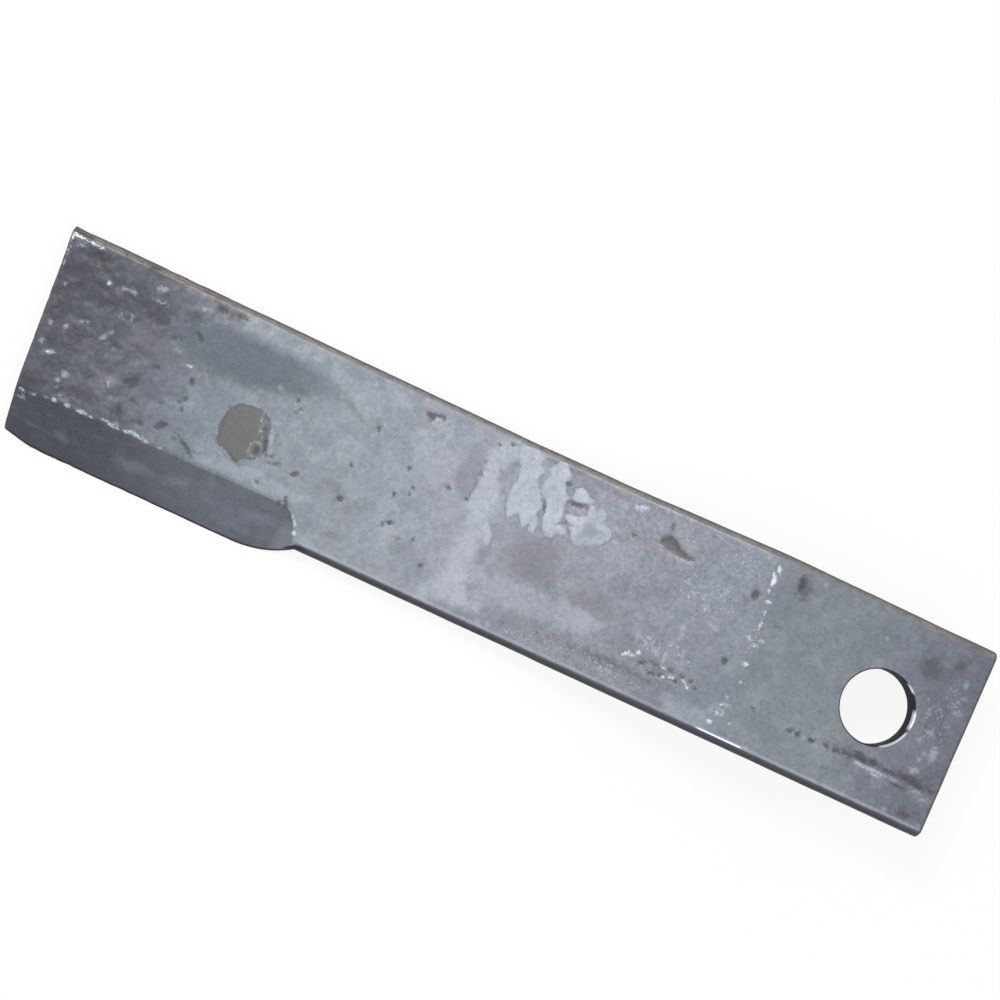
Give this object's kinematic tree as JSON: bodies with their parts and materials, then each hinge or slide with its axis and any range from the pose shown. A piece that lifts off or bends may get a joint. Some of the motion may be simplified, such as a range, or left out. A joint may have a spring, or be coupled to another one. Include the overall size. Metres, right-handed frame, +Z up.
{
  "type": "rotary cutter blade",
  "caption": "Offset flat-bar rotary cutter blade with a punched pivot hole, a downward joggle and a forged bevel along the leading edge near its tip.",
  "frame": {"origin": "centre of the pivot hole, halfway through the bar's thickness", "axes": "+X along the blade from the pivot hole to the tip, +Y towards the cutting edge, +Z up along the pivot bolt"},
  "size_m": [0.51, 0.1109, 0.0444],
  "materials": {
    "mill_scale_steel": "hot rolled and forged steel with blue-grey mill scale, unpainted, lightly rusted along the long edges"
  },
  "bodies": {
    "root": {"cutter_blade": "mill_scale_steel"}
  },
  "joints": []
}
